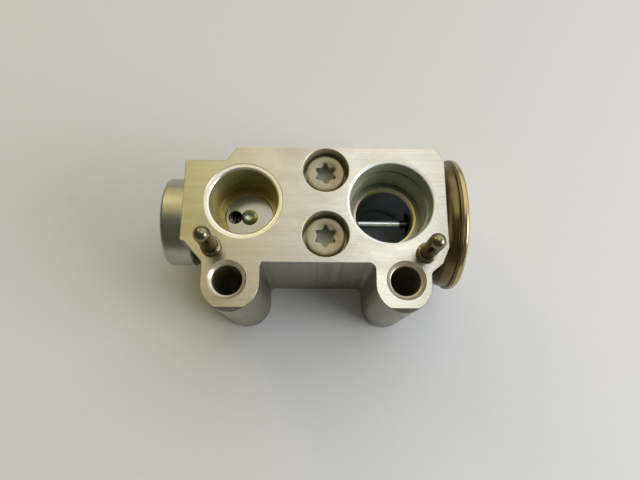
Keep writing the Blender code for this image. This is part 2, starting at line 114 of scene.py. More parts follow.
DIMPLE_DEPTH = 0.6            # from the liquid port's floor
COUNTERBORE_R = 5.08
COUNTERBORE_DEPTH = 6.8       # from the pipe face
SCREW_HOLE_R = 2.75
EAR_HOLES = ((-20.6, -17.3), (16.9, -17.2))
EAR_HOLE_R = 3.15
EAR_HOLE_CHAMFER_R = 4.2
CHAMBER_R = 3.7
CHAMBER_END_X = -27.4
CAP_BORE_R = 7.0
ORIFICE_R = 1.4
ORIFICE_SEAT_X = -13.9
ROD_GUIDE_R = 1.1
ROD_SEAL_R = 2.6
ROD_SEAL_END_X = 3.6
HEAD_POCKET_R = 7.8
HEAD_POCKET_DEPTH = 1.2       # from the head end of the block
HEAD_BORE_R = 5.0
HEAD_BORE_END_X = 22.0
ROD_ROOM_R = 3.0              # of the bore round the rod, next to the power head

# ---- sizes of the fitted pieces, mm ----
CAP_PLUG_R = 6.9
CAP_GROOVE_R = 5.2
CAP_GROOVE_X = (-28.6, -30.4)    # start and end of the O-ring's groove
ROD_TIP_R = 0.75
ROD_SHOULDER_X = -7.5
# Where painted shade starts on the rod along X, for the port's wall shading its end
ROD_SHADE_FROM_X = 18.4
SPRING_WIRE_R = 0.28
SPRING_TURNS = 3.5
SHELL_R = 15.2                # of the lower shell, below its rim
SHELL_CORNER_R = 2.2
NECK_R = 4.9
COVER_FRONT_X = 31.6
COVER_CORNER_R = 0.85
CHARGE_HOLE_R = 1.3
SCREW_SHANK_R = 2.5
SCREW_HEAD_HEIGHT = 4.9
SOCKET_DEPTH = 2.6
SOCKET_MOUTH_DEPTH = 0.4
STAR_TIP_R = 2.53
STAR_ROOT_R = 1.80
STAR_TURN = {"mounting_screw_upper": 33, "mounting_screw_lower": 29}    # degrees
COLLAR_HEIGHT = 1.3           # from the pipe face to the top of a pin's collar
COLLAR_CORNER_R = 0.38

ROUND = 128                   # sides of a large round feature
SMALL = 64                    # sides of a small one
BREAK = 0.12                  # broken edge of a machined corner, mm
TO_PLUS_X = Matrix.Rotation(math.radians(90), 4, "Y")
UPRIGHT = Matrix.Identity(4)

# ---- camera and lamps, mm and degrees ----
CAMERA_PLACE = (-2.99, -36.2, 135.12)
CAMERA_TURN = (15.103, -1.028, 0.431)    # a rotation vector
CAMERA_LENS = 28.0
SENSOR_WIDTH = 36.0
LAMP_TARGET = (0, 0, 20)
LAMPS = {                     # place, size, radiance, colour
    "key": ((88, 66, 520), 120, 2.2, (0.92, 0.96, 1.0)),
    "side": ((450, -120, 260), 340, 5.5, (1.0, 0.99, 0.97)),
    "warm": ((-250, 290, 310), 110, 6.6, (1.0, 0.82, 0.46)),
}


# ---- node helpers ----
def new_material(name, metallic=1.0):
    """A material and its Principled shader, with the shader's plain values set."""
    made = bpy.data.materials.new(name)
    made.use_nodes = True
    shader = made.node_tree.nodes["Principled BSDF"]
    shader.inputs["Metallic"].default_value = metallic
    return made, made.node_tree, shader


def add(tree, kind, inputs=(), **settings):
    """A new node. Each input, by name or number, is set to a value or linked to a socket."""
    made = tree.nodes.new("ShaderNode" + kind)
    for key, value in settings.items():
        setattr(made, key, value)
    for key, value in dict(inputs).items():
        if isinstance(value, bpy.types.NodeSocket):
            tree.links.new(value, made.inputs[key])
        else:
            made.inputs[key].default_value = value
    return made


def coords(tree, stretch=(1, 1, 1), shift=(0, 0, 0)):
    """Object coordinates in mm, moved and then stretched."""
    source = add(tree, "TexCoord").outputs["Object"]
    scale = tuple(factor / MM for factor in stretch)
    place = tuple(-move * factor for move, factor in zip(shift, stretch))
    return add(tree, "Mapping", {"Vector": source, "Location": place, "Scale": scale}).outputs[0]


def noise(tree, vector, scale=1.0, detail=3.0, rough=0.6):
    inputs = {"Vector": vector, "Scale": scale, "Detail": detail, "Roughness": rough}
    return add(tree, "TexNoise", inputs).outputs[0]


def remap(tree, value, low, high, to_low, to_high):
    return add(tree, "MapRange", {0: value, 1: low, 2: high, 3: to_low, 4: to_high}).outputs[0]


def calc(tree, operation, first, second=0.0):
    return add(tree, "Math", {0: first, 1: second}, operation=operation).outputs[0]


def blend_colors(tree, factor, first, second):
    inputs = {0: factor, 6: first, 7: second}
    return add(tree, "Mix", inputs, data_type="RGBA").outputs[2]


def bump(tree, height, strength, distance_mm):
    inputs = {"Height": height, "Strength": strength, "Distance": distance_mm * MM}
    return add(tree, "Bump", inputs).outputs[0]


def wire(tree, shader, color=None, roughness=None, normal=None):
    for name, socket in (("Base Color", color), ("Roughness", roughness), ("Normal", normal)):
        if socket:
            tree.links.new(socket, shader.inputs[name])


def rgb(red, green, blue):
    return (red, green, blue, 1.0)


def ring_radius(tree, centre, axis):
    """Distance in mm from an axis through centre, along Z or X."""
    keep = (1, 1, 0) if axis == "Z" else (0, 1, 1)
    flat = coords(tree, stretch=keep, shift=centre)
    return add(tree, "VectorMath", {0: flat}, operation="LENGTH").outputs["Value"]


def line_noise(tree, value, per_mm, detail=2.0):
    """Noise that changes only with one value, as tool marks do."""
    inputs = {"W": value, "Scale": per_mm, "Detail": detail}
    return add(tree, "TexNoise", inputs, noise_dimensions="1D").outputs[0]


# ---- materials ----
def milled_face():
    """Milled aluminium with straight tool lines along X, faint stains and scuffs."""
    made, tree, shader = new_material("milled_face")
    fine = noise(tree, coords(tree, (0.02, 7.0, 1.0)), 1.0, 4.0)
    broad = noise(tree, coords(tree, (0.012, 0.9, 1.0)), 1.0, 3.0)
    patches = noise(tree, coords(tree, (0.06, 0.09, 0.1)), 1.0, 4.0)
    scuffs = noise(tree, coords(tree, (0.9, 1.1, 1.0)), 1.0, 6.0, 0.7)
    lines = calc(tree, "ADD", calc(tree, "MULTIPLY", fine, 0.55),
                 calc(tree, "MULTIPLY", broad, 0.45))
    tone = remap(tree, lines, 0.36, 0.64, 0.0, 1.0)
    color = blend_colors(tree, tone, rgb(0.53, 0.50, 0.41), rgb(0.70, 0.68, 0.61))
    mottle = noise(tree, coords(tree, (0.5, 0.9, 1.0)), 1.0, 5.0, 0.7)
    color = blend_colors(tree, remap(tree, mottle, 0.40, 0.66, 0.0, 0.45), color,
                         rgb(0.58, 0.53, 0.42))
    stain = remap(tree, patches, 0.52, 0.70, 0.0, 0.4)
    color = blend_colors(tree, stain, color, rgb(0.50, 0.45, 0.33))
    mark = remap(tree, scuffs, 0.66, 0.74, 0.0, 0.5)
    color = blend_colors(tree, mark, color, rgb(0.76, 0.75, 0.73))
    roughness = calc(tree, "ADD", remap(tree, lines, 0.35, 0.65, 0.20, 0.29),
                     calc(tree, "MULTIPLY", stain, 0.15))
    wire(tree, shader, color, roughness, bump(tree, lines, 0.4, 0.025))
    normal = add(tree, "NewGeometry").outputs["Normal"]
    across = add(tree, "VectorMath", {0: normal, 1: (1.0, 0.0, 0.0)}, operation="CROSS_PRODUCT")
    tree.links.new(across.outputs[0], shader.inputs["Tangent"])
    shader.inputs["Anisotropic"].default_value = 0.92
    return made


def extruded_side():
    """The drawn surface of the extrusion, with die lines along Z. Its dark grey-brown is partly the
    drawn surface's own duller tone and partly painted shade.
    """
    made, tree, shader = new_material("extruded_side")
    lines = noise(tree, coords(tree, (2.2, 2.2, 0.02)), 1.0, 4.0)
    patches = noise(tree, coords(tree, (0.15, 0.15, 0.08)), 1.0, 4.0)
    color = blend_colors(tree, remap(tree, lines, 0.35, 0.65, 0.0, 1.0),
                         rgb(0.29, 0.275, 0.22), rgb(0.37, 0.355, 0.29))
    color = blend_colors(tree, remap(tree, patches, 0.5, 0.7, 0.0, 0.4), color,
                         rgb(0.23, 0.21, 0.16))
    roughness = remap(tree, lines, 0.3, 0.7, 0.36, 0.50)
    wire(tree, shader, color, roughness, bump(tree, lines, 0.3, 0.03))
    return made


def bored_wall(name, dark, light, rough, metallic=1.0):
    """Walls of the ports and holes along Z, with tool lines round them."""
    made, tree, shader = new_material(name, metallic)
    height = add(tree, "SeparateXYZ", {0: coords(tree)}).outputs[2]
    lines = line_noise(tree, height, 5.0)
    patches = noise(tree, coords(tree, (0.3, 0.3, 0.2)), 1.0, 3.0)
    color = blend_colors(tree, remap(tree, lines, 0.3, 0.7, 0.0, 1.0), rgb(*dark), rgb(*light))
    worn = tuple(value * 0.75 for value in dark)
    color = blend_colors(tree, remap(tree, patches, 0.5, 0.7, 0.0, 0.5), color, rgb(*worn))
    roughness = remap(tree, lines, 0.3, 0.7, *rough)
    wire(tree, shader, color, roughness, bump(tree, lines, 0.12, 0.01))
    return made


def turned_floor(name, centre_x, dark, light, rough=(0.14, 0.22), metallic=1.0):
    """A faced surface with rings round an upright axis in the middle of the block."""
    made, tree, shader = new_material(name, metallic)
    radius = ring_radius(tree, (centre_x, 0, 0), "Z")
    rings = line_noise(tree, radius, 6.0)
    color = blend_colors(tree, remap(tree, rings, 0.3, 0.7, 0.0, 1.0), rgb(*dark), rgb(*light))
    roughness = remap(tree, rings, 0.3, 0.7, *rough)
    wire(tree, shader, color, roughness, bump(tree, rings, 0.12, 0.01))
    return made


def turned_metal(name, dark, light, rough=(0.25, 0.38), per_mm=4.0, depth=0.015, blotch=None):
    """Metal turned about the valve axis: fine lines round it, which change along X."""
    made, tree, shader = new_material(name)
    along = add(tree, "SeparateXYZ", {0: coords(tree)}).outputs[0]
    radius = ring_radius(tree, (0, 0, AXIS_Z), "X")
    lines = line_noise(tree, calc(tree, "ADD", along, radius), per_mm)
    color = blend_colors(tree, remap(tree, lines, 0.3, 0.7, 0.0, 1.0), rgb(*dark), rgb(*light))
    if blotch:
        patches = noise(tree, coords(tree, (0.25, 0.25, 0.25)), 1.0, 5.0)
        color = blend_colors(tree, remap(tree, patches, 0.48, 0.68, 0.0, 0.6), color, rgb(*blotch))
    roughness = remap(tree, lines, 0.3, 0.7, *rough)
    wire(tree, shader, color, roughness, bump(tree, lines, 0.2, depth))
    return made


def ground_steel(name, dark, light, smear, rough, edge, shade_from=None):
    """Ground and polished steel with smears, and with painted shade that darkens it from a given
    point along X.
    """
    made, tree, shader = new_material(name)
    grain = noise(tree, coords(tree, (3.0, 3.0, 3.0)), 1.0, 4.0)
    smears = noise(tree, coords(tree, (0.5, 0.5, 0.3)), 1.0, 3.0)
    color = blend_colors(tree, remap(tree, grain, 0.3, 0.7, 0.0, 1.0), rgb(*dark), rgb(*light))
    color = blend_colors(tree, remap(tree, smears, 0.5, 0.7, 0.0, 0.5), color, rgb(*smear))
    # Painted shade: past the given point along X the steel turns near black, for the shade of the
    # port's wall
    if shade_from is not None:
        along = add(tree, "SeparateXYZ", {0: coords(tree)}).outputs[0]
        shade_mask = remap(tree, along, shade_from, shade_from + 0.4, 0.0, 1.0)
        color = blend_colors(tree, shade_mask, color, rgb(0.12, 0.11, 0.10))
    roughness = remap(tree, smears, 0.3, 0.7, *rough)
    wire(tree, shader, color, roughness, bump(tree, grain, 0.08, 0.01))
    shader.inputs["Specular Tint"].default_value = edge
    return made


def zinc_flake(name, dark, light, worn, metallic=0.75):
    """Matte grey zinc flake coating with a fine speckle and blotches."""
    made, tree, shader = new_material(name, metallic)
    speckle = noise(tree, coords(tree, (5.0, 5.0, 5.0)), 1.0, 4.0)
    blotches = noise(tree, coords(tree, (1.1, 1.1, 1.1)), 1.0, 4.0)
    color = blend_colors(tree, remap(tree, speckle, 0.35, 0.65, 0.0, 1.0), rgb(*dark), rgb(*light))
    color = blend_colors(tree, remap(tree, blotches, 0.46, 0.62, 0.0, 0.8), color, rgb(*worn))
    roughness = remap(tree, speckle, 0.3, 0.7, 0.42, 0.58)
    wire(tree, shader, color, roughness, bump(tree, speckle, 0.3, 0.02))
    return made


def rubber():
    """Green seal rubber with a fine moulded grain."""
    made, tree, shader = new_material("seal_rubber", metallic=0.0)
    grain = noise(tree, coords(tree, (6.0, 6.0, 6.0)), 1.0, 4.0)
    color = blend_colors(tree, grain, rgb(0.015, 0.10, 0.05), rgb(0.03, 0.17, 0.09))
    roughness = remap(tree, grain, 0.3, 0.7, 0.45, 0.62)
    wire(tree, shader, color, roughness, bump(tree, grain, 0.2, 0.02))
    return made


# ---- mesh helpers ----
def add_object(name, mesh):
    obj = bpy.data.objects.new(name, mesh)
    bpy.context.scene.collection.objects.link(obj)
    return obj


def turned(name, profile, place=UPRIGHT, sides=ROUND, ring=False):
    """A turned piece. Its profile is (radius, height) in mm, down the outer side from the top."""
    mesh = bpy.data.meshes.new(name)
    points = [(radius * MM, 0.0, height * MM) for radius, height in profile]
    edges = [(i, i + 1) for i in range(len(points) - 1)]
    if ring:
        edges.append((len(points) - 1, 0))
    mesh.from_pydata(points, edges, [])
    obj = add_object(name, mesh)
    screw = obj.modifiers.new("Turn", "SCREW")
    screw.angle = math.tau
    screw.steps = sides
    screw.render_steps = sides
    screw.use_merge_vertices = True
    screw.merge_threshold = 1e-6
    obj.matrix_world = place
    apply_modifiers(obj)
    return obj


def apply_modifiers(obj):
    """Makes the evaluated mesh the object's own, in world space."""
    bpy.context.view_layer.update()
    graph = bpy.context.evaluated_depsgraph_get()
    mesh = bpy.data.meshes.new_from_object(obj.evaluated_get(graph))
    mesh.transform(obj.matrix_world)
    obj.modifiers.clear()
    obj.data = mesh
    obj.matrix_world = UPRIGHT


def on_axis(x=0.0):
    return Matrix.Translation((x * MM, 0.0, AXIS_Z * MM)) @ TO_PLUS_X


def upright(x, y, z=0.0):
    return Matrix.Translation((x * MM, y * MM, z * MM))


def cut(obj, cutters):
    """Takes the cutters' shapes out of the object and removes the cutters."""
    for cutter in cutters:
        boolean = obj.modifiers.new(cutter.name, "BOOLEAN")
        boolean.operation = "DIFFERENCE"
        boolean.solver = "EXACT"
        boolean.object = cutter
    apply_modifiers(obj)
    for cutter in cutters:
        bpy.data.objects.remove(cutter, do_unlink=True)


def shade(obj, degrees):
    """Smooth shading that keeps real corners sharp and flat faces flat."""
    obj.data.shade_smooth()
    obj.data.set_sharp_from_angle(angle=math.radians(degrees))
    weighted = obj.modifiers.new("Flat faces", "WEIGHTED_NORMAL")
    weighted.keep_sharp = True


def settle(obj, material, nodes, body=FIXED, corner=30):
    """Gives a finished piece its material and its body, and hides the CAD nodes that it stands for.
    """
    if material:
        obj.data.materials.clear()
        obj.data.materials.append(material)
    shade(obj, corner)
    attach(obj, body)
    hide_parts(*nodes)


def arc(radius, start, end, pieces, centre=(0.0, 0.0)):
    """Points of an arc in a profile, with angles in degrees from +radius towards +height."""
    step = (end - start) / pieces
    angles = [math.radians(start + step * i) for i in range(pieces + 1)]
    return [(centre[0] + radius * math.cos(a), centre[1] + radius * math.sin(a)) for a in angles]


def lip(radius, top, width, depth, pieces=10):
    """The rounded edge of a bore's mouth, from the face down to the bore's own radius."""
    angles = [math.radians(90 * i / pieces) for i in range(pieces + 1)]
    return [(radius + width * (1 - math.sin(a)), top - depth * (1 - math.cos(a))) for a in angles]


def rounded_outline(corners, step=math.radians(5)):
    """A closed outline in mm from (x, y, radius) corners, each rounded with an arc."""
    points = []
    for index, (x, y, radius) in enumerate(corners):
        corner = Vector((x, y))
        before = (Vector(corners[index - 1][:2]) - corner).normalized()
        after = (Vector(corners[(index + 1) % len(corners)][:2]) - corner).normalized()
        inner = before.angle(after)
        reach = radius / math.tan(inner / 2)
        centre = corner + (before + after).normalized() * (radius / math.sin(inner / 2))
        start = corner + before * reach - centre
        turn = start.angle_signed(corner + after * reach - centre)
        pieces = max(1, round(abs(turn) / step))
        for piece in range(pieces + 1):
            ray = start.copy()
            ray.rotate(Matrix.Rotation(-turn * piece / pieces, 2))
            points.append(centre + ray)
    return points


# ---- the block ----
def block_outline():
    """The outline of the extrusion, from the notch round both ears."""
    left_out, left_in = EAR_LEFT
    right_in, right_out = EAR_RIGHT
    left_r = (left_in - left_out) / 2 - 0.01
    right_r = (right_out - right_in) / 2 - 0.01
    left, right, top, ear_end = BLOCK_LOW.x, BLOCK_HIGH.x, BLOCK_HIGH.y, BLOCK_LOW.y
    return rounded_outline([
        (left, NOTCH_Y, 0.3), (left, -8.95, 0.3), (-29.9, -9.3, 0.9), (left_out, -13.6, 1.2),
        (left_out, ear_end, left_r), (left_in, ear_end, left_r),
        (left_in, WEB_EDGE_Y, 0.8), (right_in, WEB_EDGE_Y, 1.5),
        (right_in, ear_end, right_r), (right_out, ear_end, right_r),
        (right_out, -15.5, 1.5), (24.7, -13.6, 0.5), (right, -10.0, 0.6), (right, 10.0, 0.4),
        (24.55, top, 0.4), (-19.6, top, 0.5), (-21.95, NOTCH_Y, 1.0),
    ])


def offset_outline(points, inset):
    """The outline moved inwards by inset mm, corner by corner."""
    moved = []
    for index, point in enumerate(points):
        before = (point - points[index - 1]).normalized()
        after = (points[(index + 1) % len(points)] - point).normalized()
        along = (before + after).normalized()
        inward = Vector((-along.y, along.x))
        moved.append(point + inward * inset / max(0.5, inward.dot(Vector((-before.y, before.x)))))
    return moved


def block_blank():
    """The extruded blank with broken edges on both faces."""
    outline = block_outline()
    inset = offset_outline(outline, BREAK)
    if sum(a.cross(b) for a, b in zip(outline, outline[1:])) < 0:
        raise ValueError("the outline runs the wrong way round")
    cage = bmesh.new()
    layers = []
    for points, height in ((inset, 0), (outline, BREAK), (outline, TOP - BREAK), (inset, TOP)):
        layers.append([cage.verts.new((p.x * MM, p.y * MM, height * MM)) for p in points])
    for low, high in zip(layers, layers[1:]):
        for index in range(len(low)):
            after = (index + 1) % len(low)
            cage.faces.new((low[index], low[after], high[after], high[index]))
    cage.faces.new(list(reversed(layers[0])))
    cage.faces.new(layers[-1])
    mesh = bpy.data.meshes.new("block")
    cage.to_mesh(mesh)
    cage.free()
    return add_object("block", mesh)


def port_cutters():
    """The ports along Z, the passage, and the hole and dimple in the liquid port's floor."""
    over = TOP + 1
    b = BREAK
    liquid = [
        (0, over), (LIQUID_LEAD_R + 1, over), (LIQUID_LEAD_R, TOP), (LIQUID_LEAD_R - b, TOP - 0.15),
    ]
    liquid += lip(LIQUID_R, TOP - 0.18, 0.55, 0.6)
    liquid += [
        (LIQUID_R, TOP - LIQUID_LEDGE_DEPTH), (LIQUID_STEP_R, TOP - LIQUID_LEDGE_DEPTH - 0.05),
        (LIQUID_STEP_R, LIQUID_FLOOR + b),
        (LIQUID_STEP_R - b, LIQUID_FLOOR), (DIMPLE_R, LIQUID_FLOOR),
    ]
    dimple_sphere = (DIMPLE_R ** 2 + DIMPLE_DEPTH ** 2) / (2 * DIMPLE_DEPTH)
    rim_angle = math.degrees(math.asin(DIMPLE_R / dimple_sphere))
    liquid += arc(dimple_sphere, rim_angle - 90, -90, 12,
                  (0, LIQUID_FLOOR - DIMPLE_DEPTH + dimple_sphere))[1:]
    suction = [(0, over), (SUCTION_MOUTH_R + 1.6, over), (SUCTION_MOUTH_R + 0.6, TOP)]
    suction += lip(SUCTION_MOUTH_R, TOP - 0.05, 0.52, 0.3)
    suction += [
        (SUCTION_MOUTH_R, TOP - SUCTION_STEP_DEPTH), (SUCTION_R, TOP - SUCTION_STEP_DEPTH - 0.05),
        (SUCTION_R, TOP - SUCTION_LEDGE_DEPTH), (SUCTION_LEDGE_R, TOP - SUCTION_LEDGE_DEPTH),
        (PASSAGE_R + 0.2, TOP - SUCTION_LEDGE_DEPTH - 0.15),
        (PASSAGE_R - 0.2, TOP - SUCTION_LEDGE_DEPTH - 0.6),
        (PASSAGE_R - 0.2, BACK_PORT_DEPTH + 0.7), (SUCTION_LEDGE_R, BACK_PORT_DEPTH),
        (SUCTION_R, BACK_PORT_DEPTH), (SUCTION_R, 0.5),
        (SUCTION_R + 0.5, 0), (SUCTION_R + 1.5, -1), (0, -1),
    ]
    evaporator = [
        (0, BACK_PORT_DEPTH), (LIQUID_R, BACK_PORT_DEPTH), (LIQUID_R, 0.5), (LIQUID_R + 0.5, 0),
        (LIQUID_R + 1.5, -1), (0, -1),
    ]
    outlet = [(0, AXIS_Z + 3.8), (3.0, AXIS_Z + 2.2), (3.0, 8), (0, 8)]
    inlet = [
        (0, LIQUID_FLOOR + 1), (INLET_HOLE_R + b + 1, LIQUID_FLOOR + 1),
        (INLET_HOLE_R + b, LIQUID_FLOOR), (INLET_HOLE_R, LIQUID_FLOOR - b),
        (INLET_HOLE_R, AXIS_Z), (0, AXIS_Z),
    ]
    return [
        turned("cut_liquid", liquid, upright(LIQUID_X, 0)),
        turned("cut_suction", suction, upright(SUCTION_X, 0)),
        turned("cut_evaporator", evaporator, upright(EVAPORATOR_X, 0)),
        turned("cut_outlet", outlet, upright(OUTLET_X, 0), SMALL),
        turned("cut_inlet", inlet, upright(INLET_HOLE_X, 0), SMALL),
    ]


def fastener_cutters():
    """Holes along Z for the screws, for the pipe flange's bolts and for the pins."""
    over, b = TOP + 1, BREAK
    floor = TOP - COUNTERBORE_DEPTH
    screw_hole = [
        (0, over), (COUNTERBORE_R + b + 1, over), (COUNTERBORE_R + b, TOP),
        (COUNTERBORE_R, TOP - b), (COUNTERBORE_R, floor), (SCREW_HOLE_R, floor),
        (SCREW_HOLE_R, 0.3), (SCREW_HOLE_R + 0.3, 0), (SCREW_HOLE_R + 1.3, -1), (0, -1),
    ]
    chamfer = EAR_HOLE_CHAMFER_R - EAR_HOLE_R
    ear_hole = [
        (0, over), (EAR_HOLE_CHAMFER_R + 0.5, over), (EAR_HOLE_CHAMFER_R, TOP),
        (EAR_HOLE_CHAMFER_R - 0.2, TOP - 0.3),
    ]
    ear_hole += lip(EAR_HOLE_R, TOP - 0.8, 0.3, 0.45, 8)
    ear_hole += [
        (EAR_HOLE_R, chamfer),
        (EAR_HOLE_CHAMFER_R, 0), (EAR_HOLE_CHAMFER_R + 1, -1), (0, -1),
    ]
    pin_hole = [
        (0, over), (PIN_R + 0.1, over), (PIN_R + 0.1, PIN_LOW.z - 0.3), (0, PIN_LOW.z - 1.1),
    ]
    cutters = []
    for y in (SCREW_Y, -SCREW_Y):
        cutters.append(turned("cut_screw_hole", screw_hole, upright(0, y)))
    for x, y in EAR_HOLES:
        cutters.append(turned("cut_ear_hole", ear_hole, upright(x, y)))
    for node in ("locating_pin_left", "locating_pin_right"):
        place = middle(node)
        cutters.append(turned("cut_pin_hole", pin_hole, upright(place.x, place.y), SMALL))
    return cutters


def axis_cutters():
    """Bores along the valve axis, for the spring, the power head and the rod."""
    left, right = BLOCK_LOW.x - 1, BLOCK_HIGH.x + 1
    pocket = BLOCK_HIGH.x - HEAD_POCKET_DEPTH
    spring_side = [
        (0, OUTLET_X), (ORIFICE_R, OUTLET_X), (ORIFICE_R, ORIFICE_SEAT_X),
        (CHAMBER_R, ORIFICE_SEAT_X), (CHAMBER_R, CHAMBER_END_X),
        (CAP_BORE_R, CHAMBER_END_X), (CAP_BORE_R, left), (0, left),
    ]
    head_side = [
        (0, right), (HEAD_POCKET_R, right), (HEAD_POCKET_R, pocket), (HEAD_BORE_R, pocket),
        (HEAD_BORE_R, HEAD_BORE_END_X), (ROD_ROOM_R, HEAD_BORE_END_X), (ROD_ROOM_R, SUCTION_X),
        (0, SUCTION_X),
    ]
    rod_guide = [
        (0, SUCTION_X), (ROD_SEAL_R, SUCTION_X), (ROD_SEAL_R, ROD_SEAL_END_X),
        (ROD_GUIDE_R, ROD_SEAL_END_X), (ROD_GUIDE_R, OUTLET_X), (0, OUTLET_X),
    ]
    return [
        turned("cut_spring", spring_side, on_axis(), SMALL),
        turned("cut_head", head_side, on_axis(), SMALL),
        turned("cut_rod", rod_guide, on_axis(), SMALL),
    ]


def ear_chamfer_cutters():
    """Bars that chamfer the ends of both ears at the pipe face."""
    cutters = []
    for low_x, high_x in (EAR_LEFT, EAR_RIGHT):
        cage = bmesh.new()
        bmesh.ops.create_cube(cage, size=1.0)
        bmesh.ops.scale(cage, vec=Vector((high_x - low_x + 2, 8, 4)) * MM, verts=cage.verts)
        bmesh.ops.translate(cage, vec=Vector(((low_x + high_x) / 2, 0, 2)) * MM, verts=cage.verts)
        mesh = bpy.data.meshes.new("cut_ear_chamfer")
        cage.to_mesh(mesh)
        cage.free()
        cutter = add_object("cut_ear_chamfer", mesh)
        place = Matrix.Translation((0, (BLOCK_LOW.y + EAR_CHAMFER) * MM, TOP * MM))
        cutter.matrix_world = place @ Matrix.Rotation(math.radians(45), 4, "X")
        apply_modifiers(cutter)
        cutters.append(cutter)
    return cutters


def block_materials(block):
    """Milled faces, drawn sides, bored walls and turned floors get their own material; most port
    and hole regions get tinted copies of the aluminium that paint the light and shade falling
    there.
    """
    slots = {
        "face": milled_face(),
        "side": extruded_side(),
        # Painted light: the liquid port's walls are tinted olive yellow for the warm light in it,
        # the suction port's walls grey-green for its shade
        "wall": bored_wall("liquid_wall", (0.38, 0.36, 0.12), (0.50, 0.48, 0.20),
                           (0.20, 0.30), 0.65),
        "suction wall": bored_wall("suction_wall", (0.40, 0.43, 0.34), (0.50, 0.53, 0.43),
                                   (0.28, 0.38), 0.3),
        # Painted reflection: the liquid port's ledge is tinted gold for warm glints on it
        "ledge with painted gold": bored_wall("liquid_ledge", (0.28, 0.22, 0.08), (0.42, 0.35, 0.16),
                                 (0.20, 0.28)),
        # Painted shade: the inlet hole is near black
        "hole": bored_wall("inlet_hole", (0.05, 0.045, 0.03), (0.09, 0.08, 0.05), (0.40, 0.50)),
        # Painted shade: the suction port's ledges are darkened
        "ledge": bored_wall("suction_ledge", (0.20, 0.21, 0.16), (0.28, 0.29, 0.22), (0.30, 0.40)),
        # Painted reflection: the dimple is tinted green-grey
        "dimple": turned_floor("dimple", LIQUID_X, (0.38, 0.40, 0.32), (0.48, 0.50, 0.41),
                               (0.19, 0.26)),
        # Painted light: the passage is tinted blue for the cool daylight in its shade
        "passage": bored_wall("passage_wall", (0.36, 0.44, 0.50), (0.46, 0.54, 0.60),
                              (0.26, 0.36), 0.85),
        # Painted light: the counterbore walls are brightened and tinted yellow for the light on
        # them
        "drilled": bored_wall("drilled_wall", (0.74, 0.72, 0.50), (0.86, 0.84, 0.64),
                              (0.42, 0.54), 0.8),
        # Painted shade: the ear holes get a darker copy than the counterbore walls
        "ear hole": bored_wall("ear_hole", (0.56, 0.53, 0.34), (0.68, 0.65, 0.46), (0.36, 0.48)),
        "chamfer": bored_wall("chamfer", (0.60, 0.56, 0.43), (0.72, 0.68, 0.56),
                              (0.24, 0.32), 0.65),
        # Painted highlight: the suction port's lip is near white and the liquid port's lead
        # brighter than the face
        "lip": turned_floor("suction_lip", SUCTION_X, (0.92, 0.95, 0.98), (0.98, 0.99, 1.0),
                            (0.36, 0.46), 0.2),
        "lead": turned_floor("liquid_lead", LIQUID_X, (0.74, 0.72, 0.63), (0.86, 0.84, 0.77),
                             (0.22, 0.30), 0.85),
        # Painted shade: the liquid port's floor is darker than the face
        "liquid": turned_floor("liquid_floor", LIQUID_X, (0.38, 0.37, 0.32), (0.50, 0.50, 0.46)),
        # Painted reflection: the passage mouth's ring is tinted gold
        "suction": turned_floor("suction_ring", SUCTION_X, (0.44, 0.39, 0.27), (0.60, 0.54, 0.40)),
    }
    names = list(slots)
    block.data.materials.clear()
    for material in slots.values():
        block.data.materials.append(material)
    for face in block.data.polygons:
        face.material_index = names.index(face_kind(face))


def face_kind(face):
    """Which material slot a face of the block gets, from where it is and which way it points."""
    centre = face.center / MM
    up = abs(face.normal.z)
    on_end = centre.z > TOP - 0.02 or centre.z < 0.02
    if on_end and up > 0.9:
        return "face"
    from_liquid = math.hypot(centre.x - LIQUID_X, centre.y)
    from_suction = math.hypot(centre.x - SUCTION_X, centre.y)
    in_liquid = from_liquid < LIQUID_LEAD_R + 0.4
    in_suction = from_suction < SUCTION_MOUTH_R + 0.6
    if centre.z > TOP - 1 and up > 0.08 and (in_liquid or in_suction):
        return "lead" if in_liquid else "lip"
    if up > 0.3 and from_liquid < LIQUID_STEP_R - 0.05 and centre.z > AXIS_Z:
        return "dimple" if centre.z < LIQUID_FLOOR - 0.01 else "liquid"
    if up > 0.3 and from_suction < SUCTION_LEDGE_R:
        return "suction"
    if up > 0.8 and (in_liquid or in_suction):
        return "ledge with painted gold" if in_liquid else "ledge"
    if centre.z > AXIS_Z and math.hypot(centre.x - INLET_HOLE_X, centre.y) < INLET_HOLE_R + 0.05:
        return "hole"
    if in_suction and centre.z < TOP - 11:
        return "passage"
    edges = (centre.x - BLOCK_LOW.x, BLOCK_HIGH.x - centre.x, BLOCK_HIGH.y - centre.y)
    inside = min(edges) > 0.05 and centre.y > WEB_EDGE_Y + 0.05
    if inside and (in_liquid or in_suction):
        return "wall" if in_liquid else "suction wall"
    in_ear = any(math.hypot(centre.x - x, centre.y - y) < EAR_HOLE_CHAMFER_R + 0.1
                 for x, y in EAR_HOLES)
    if in_ear and up > 0.15:
        return "chamfer"
    if in_ear:
        return "ear hole"
    if inside and abs(centre.x) < COUNTERBORE_R + 0.3:
        return "drilled"
    return "side"


def valve_body():
    """The extruded and machined block."""
    block = block_blank()
    cut(block, port_cutters() + fastener_cutters() + axis_cutters() + ear_chamfer_cutters())
    block_materials(block)
    settle(block, None, ["valve_body"], corner=16)


